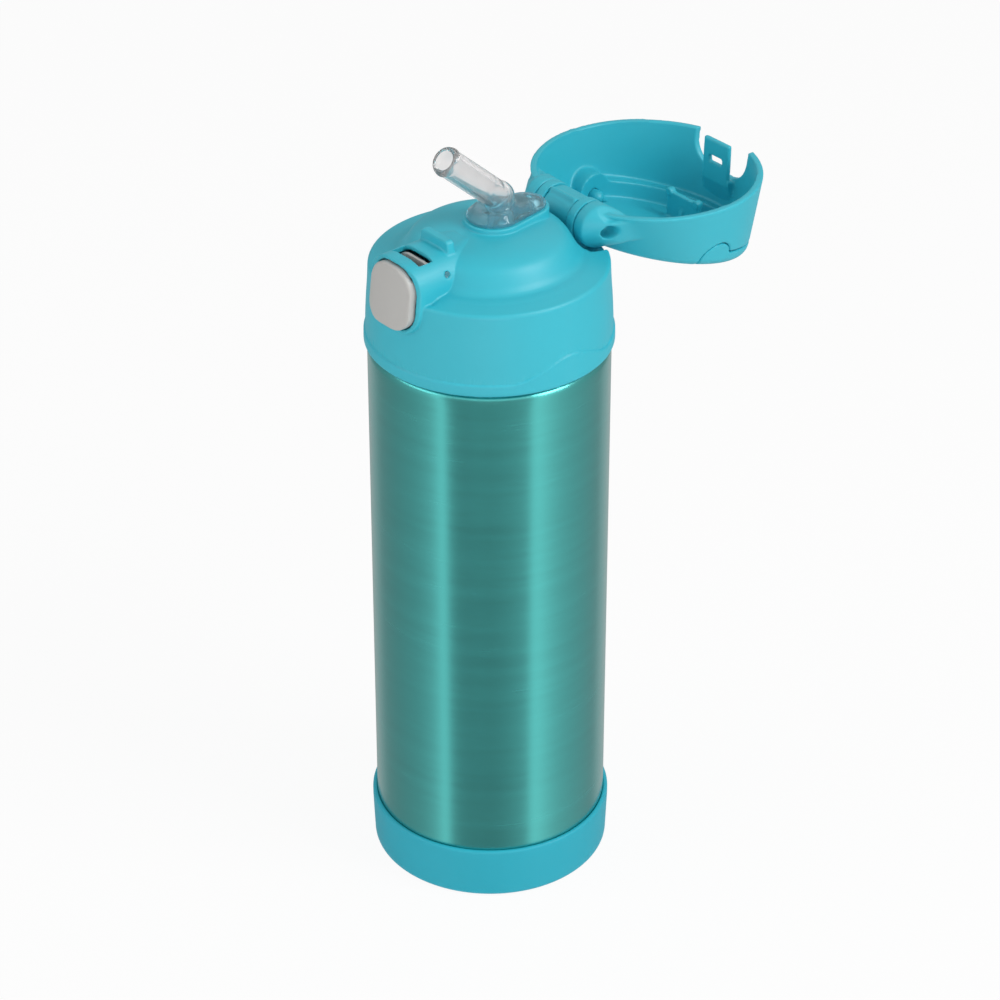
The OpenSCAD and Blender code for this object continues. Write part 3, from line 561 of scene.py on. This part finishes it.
cover = remeshed(solid_copy("flip_cover"), voxel=0.37)
settle(cover, cover_shell(shrink=0, low=0), reach=0.12)
settle(cover, cover_shell(shrink=2, low=5), reach=0.12)
cover_wall = surface(cover_shell(shrink=0, low=0))
flares = []
for point in cover.verts:
    if abs(point.co.x) > BARREL_END * MM and point.co.y < FLARE_BACK * MM:
        near, outward, _, _ = cover_wall.find_nearest(point.co)
        if (point.co - near).dot(outward) > FLARE_PROUD * MM:
            fade = min(max((abs(point.co.x) / MM - FADE_START) / FADE_LENGTH, 0), 1)
            point.co = point.co.lerp(near, fade * fade * (3 - 2 * fade))
            if fade > FADE_SEEN:
                flares.append(point)
soften(cover, flares, passes=14)
soften(cover, cover.verts[:], passes=3)
cover = thinned(cover, most=190000)
flip_lid = piece("flip_lid", cover, satin_plastic)
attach(flip_lid, "cover")
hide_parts("flip_cover")


# The cover turns on a steel pin through the barrels and the lugs of the lid. A coil of spring wire
# on the pin, inside the middle knuckle, throws the cover open when the button lets it go.
dress("hinge_pin", drawn_steel)
opening_coil = coil(radius=2.7, wire=0.45, pitch=1.4, turns=6)
along_pin = Matrix.Rotation(math.pi / 2, 4, "Y")
bmesh.ops.transform(opening_coil, verts=opening_coil.verts,
                    matrix=Matrix.Translation((-4.2 * MM, HINGE_Y * MM, HINGE_Z * MM)) @ along_pin)
opening_spring = piece("opening_spring", opening_coil, drawn_steel)
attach(opening_spring, "cover")
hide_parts("hinge_spring")


# The carry loop is a flat bow of the same plastic that lies flush in a groove round the front of
# the cover. It swings up on two round pegs.
loop = remeshed(solid_copy("carry_handle"), voxel=0.3)
settle(loop, cover_shell(shrink=0.06, low=0), reach=0.12)
soften(loop, loop.verts[:], passes=3)
carry_loop = piece("carry_loop", loop, satin_plastic)
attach(carry_loop, "handle")
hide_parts("carry_handle")


# The studio is a plain white floor with soft light. A grey tent round the bottle, which shows only
# in glossy surfaces, gives the brushed steel the dark front and the two bright sides that such
# bottles are photographed with.
WHITE = (1, 1, 1, 1)
PAPER = (0.86, 0.86, 0.86, 1)
FRONT_TURN = math.radians(219.8)
FLOOR_GLOW = 0.93
FLOOR_HALF = 20.0
FILL_LIGHT = 0.42


def glowing(name, strength_by_turn):
    """Material of the tent, which lights as if its cloth were very far away.

    Brightness goes by the turn round the bottle from 0 to 1, with the front at one half. The
    directions are fixed in the room, wherever the bottle is seen from.
    """
    made = bpy.data.materials.new(name)
    made.use_nodes = True
    nodes = made.node_tree.nodes
    nodes.clear()
    towards = nodes.new("ShaderNodeNewGeometry")
    from_front = nodes.new("ShaderNodeVectorRotate")
    from_front.rotation_type = "Z_AXIS"
    from_front.inputs["Angle"].default_value = FRONT_TURN
    sweep = nodes.new("ShaderNodeTexGradient")
    sweep.gradient_type = "RADIAL"
    ramp = nodes.new("ShaderNodeValToRGB")
    stops = ramp.color_ramp.elements
    for turn, _ in strength_by_turn[1:-1]:
        stops.new(turn)
    for stop, (turn, strength) in zip(stops, strength_by_turn):
        stop.position = turn
        stop.color = (strength, strength, strength, 1)
    glow = nodes.new("ShaderNodeEmission")
    result = nodes.new("ShaderNodeOutputMaterial")
    wired(made.node_tree,
          (towards.outputs["Incoming"], from_front.inputs["Vector"]),
          (from_front.outputs[0], sweep.inputs["Vector"]),
          (sweep.outputs["Fac"], ramp.inputs["Fac"]),
          (ramp.outputs["Color"], glow.inputs["Color"]),
          (glow.outputs[0], result.inputs["Surface"]))
    return made


tent_shape = bmesh.new()
tent_rim = [tent_shape.verts.new(place) for place in (
    (0.0376, 0, 0.0004), (0.5, 0, 0.0004), (0.6, 0, 0.1), (0.6, 0, 0.5))]
for start, end in zip(tent_rim, tent_rim[1:]):
    tent_shape.edges.new((start, end))
bmesh.ops.spin(tent_shape, geom=tent_shape.verts[:] + tent_shape.edges[:], cent=(0, 0, 0),
               axis=(0, 0, 1), dvec=(0, 0, 0), angle=math.tau, steps=128, use_merge=True)
tent = placed("tent", meshed("tent", tent_shape))
tent.data.materials.append(glowing("tent_card", [
    (0.0, 0.44), (0.1, 0.46), (0.15, 0.34), (0.222, 0.36), (0.283, 0.42), (0.308, 0.48),
    (0.33, 0.56), (0.343, 0.64), (0.356, 0.78), (0.366, 1.0), (0.379, 1.0), (0.392, 0.5),
    (0.411, 0.36), (0.44, 0.31), (0.5, 0.285), (0.53, 0.31), (0.556, 0.37), (0.578, 0.44),
    (0.601, 0.52), (0.618, 1.0), (0.632, 1.0), (0.646, 0.92), (0.662, 0.8), (0.69, 0.65),
    (0.716, 0.57), (0.742, 0.52), (0.772, 0.47), (0.81, 0.42), (0.85, 0.36), (0.885, 0.5),
    (0.95, 0.5), (1.0, 0.44)]))
tent.visible_camera = False
tent.visible_diffuse = False
tent.visible_transmission = False
tent.visible_shadow = False


def seen_directly(tree):
    """Socket that is 1 for rays from the camera, from gloss or through a clear piece, or else 0."""
    rays = tree.nodes.new("ShaderNodeLightPath")
    seen = working(tree, "ShaderNodeMath", "MAXIMUM")
    seen_through = working(tree, "ShaderNodeMath", "MAXIMUM")
    wired(tree,
          (rays.outputs["Is Camera Ray"], seen.inputs[0]),
          (rays.outputs["Is Glossy Ray"], seen.inputs[1]),
          (seen.outputs[0], seen_through.inputs[0]),
          (rays.outputs["Is Transmission Ray"], seen_through.inputs[1]))
    return seen_through.outputs[0]


floor_shape = bmesh.new()
bmesh.ops.create_grid(floor_shape, x_segments=8, y_segments=8, size=FLOOR_HALF)
floor_white = bpy.data.materials.new("floor_white")
floor_white.use_nodes = True
floor_nodes = floor_white.node_tree.nodes
floor_nodes.clear()
paper = floor_nodes.new("ShaderNodeBsdfDiffuse")
paper.inputs["Color"].default_value = PAPER
lit = floor_nodes.new("ShaderNodeEmission")
lit.inputs["Strength"].default_value = 1.0
share = working(floor_white.node_tree, "ShaderNodeMath", "MULTIPLY")
share.inputs[1].default_value = FLOOR_GLOW
floor_mix = floor_nodes.new("ShaderNodeMixShader")
floor_result = floor_nodes.new("ShaderNodeOutputMaterial")
wired(floor_white.node_tree,
      (seen_directly(floor_white.node_tree), share.inputs[0]),
      (share.outputs[0], floor_mix.inputs[0]),
      (paper.outputs[0], floor_mix.inputs[1]),
      (lit.outputs[0], floor_mix.inputs[2]),
      (floor_mix.outputs[0], floor_result.inputs["Surface"]))
floor = placed("floor", meshed("floor", floor_shape))
floor.data.materials.append(floor_white)

world = bpy.data.worlds.new("studio")
bpy.context.scene.world = world
world.use_nodes = True
world_nodes = world.node_tree.nodes
world_nodes.clear()
soft_fill = world_nodes.new("ShaderNodeBackground")
white_room = world_nodes.new("ShaderNodeBackground")
for background, strength in ((soft_fill, FILL_LIGHT), (white_room, 1.0)):
    background.inputs["Color"].default_value = WHITE
    background.inputs["Strength"].default_value = strength
world_mix = world_nodes.new("ShaderNodeMixShader")
world_result = world_nodes.new("ShaderNodeOutputWorld")
wired(world.node_tree,
      (seen_directly(world.node_tree), world_mix.inputs[0]),
      (soft_fill.outputs[0], world_mix.inputs[1]),
      (white_room.outputs[0], world_mix.inputs[2]),
      (world_mix.outputs[0], world_result.inputs["Surface"]))


def softbox(name, place, aim, size, power):
    """Square soft light that points from its place to its aim."""
    lamp = bpy.data.lights.new(name, "AREA")
    lamp.shape = "SQUARE"
    lamp.size = size
    lamp.energy = power
    made = placed(name, lamp)
    made.location = place
    made.rotation_euler = (Vector(aim) - Vector(place)).to_track_quat("-Z", "Y").to_euler()


softbox("key", place=(0.75, 0.35, 0.85), aim=(0, 0, 0.15), size=0.5, power=6.0)
softbox("fill", place=(-0.35, -0.9, 0.6), aim=(0, 0, 0.15), size=0.7, power=2.5)
softbox("low_front", place=(0.75, -0.62, 0.1), aim=(0, 0, 0.18), size=0.7, power=3.4)

scene = bpy.context.scene
scene.view_settings.view_transform = "Standard"
lens = bpy.data.cameras.new("camera")
lens.lens = 120.96
lens.sensor_width = 36
camera = placed("camera", lens)
camera.location = (0.66409, -0.55316, 0.66123)
camera.rotation_euler = (math.radians(58.0895), 0, math.radians(50))
scene.camera = camera
